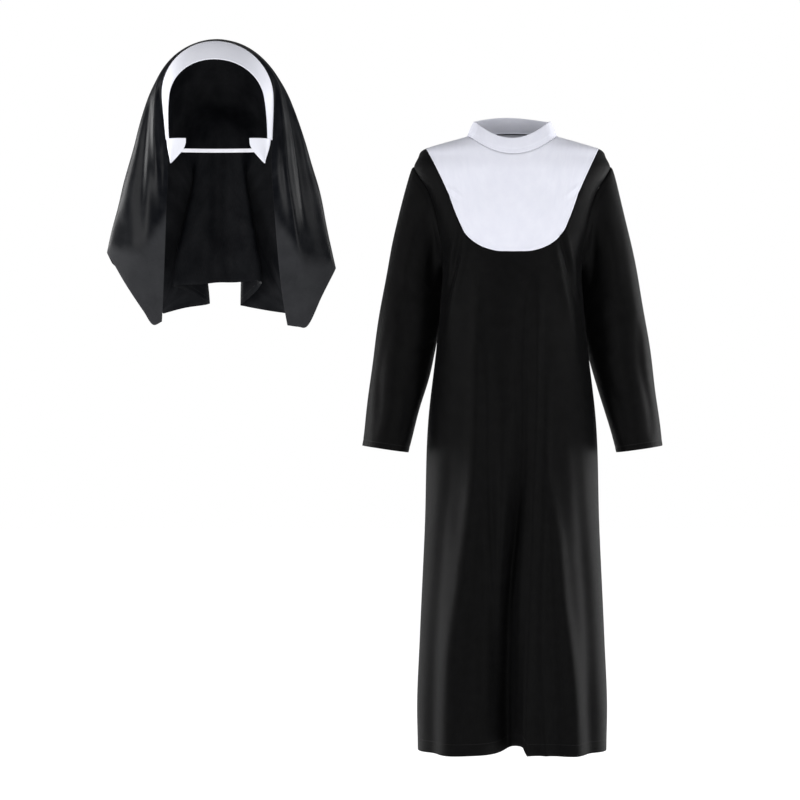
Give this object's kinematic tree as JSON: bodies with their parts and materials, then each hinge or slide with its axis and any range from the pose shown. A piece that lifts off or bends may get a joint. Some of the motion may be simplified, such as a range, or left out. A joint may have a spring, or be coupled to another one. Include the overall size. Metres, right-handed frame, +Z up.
{
  "type": "nun habit: worn robe and veil",
  "caption": "Hollow ankle-length black robe with long sleeves, white curved yoke and stand collar, beside a black draped veil on a white face band.",
  "frame": {"origin": "where the wearer's neck and shoulders hold the robe: on the robe's centre line, level with the collar's seam at the sides", "axes": "+Z up, the front of both pieces facing -Y, +X to the right as the front is seen"},
  "size_m": [1.2219, 0.281, 1.5618],
  "materials": {
    "black_knit": "matte fine knit",
    "white_knit": "matte fine knit",
    "black_satin": "soft satin",
    "white_satin": "soft satin, stiffened",
    "white_elastic": "ribbed elastic"
  },
  "bodies": {
    "root": {"robe_front": "black_knit", "robe_back": "black_knit", "sleeve_left": "black_knit", "sleeve_right": "black_knit", "bib": "white_knit", "collar": "white_knit", "veil": "black_satin", "head_band": "white_satin", "band_tab_left": "white_satin", "band_tab_right": "white_satin", "neck_elastic": "white_elastic"}
  },
  "joints": []
}
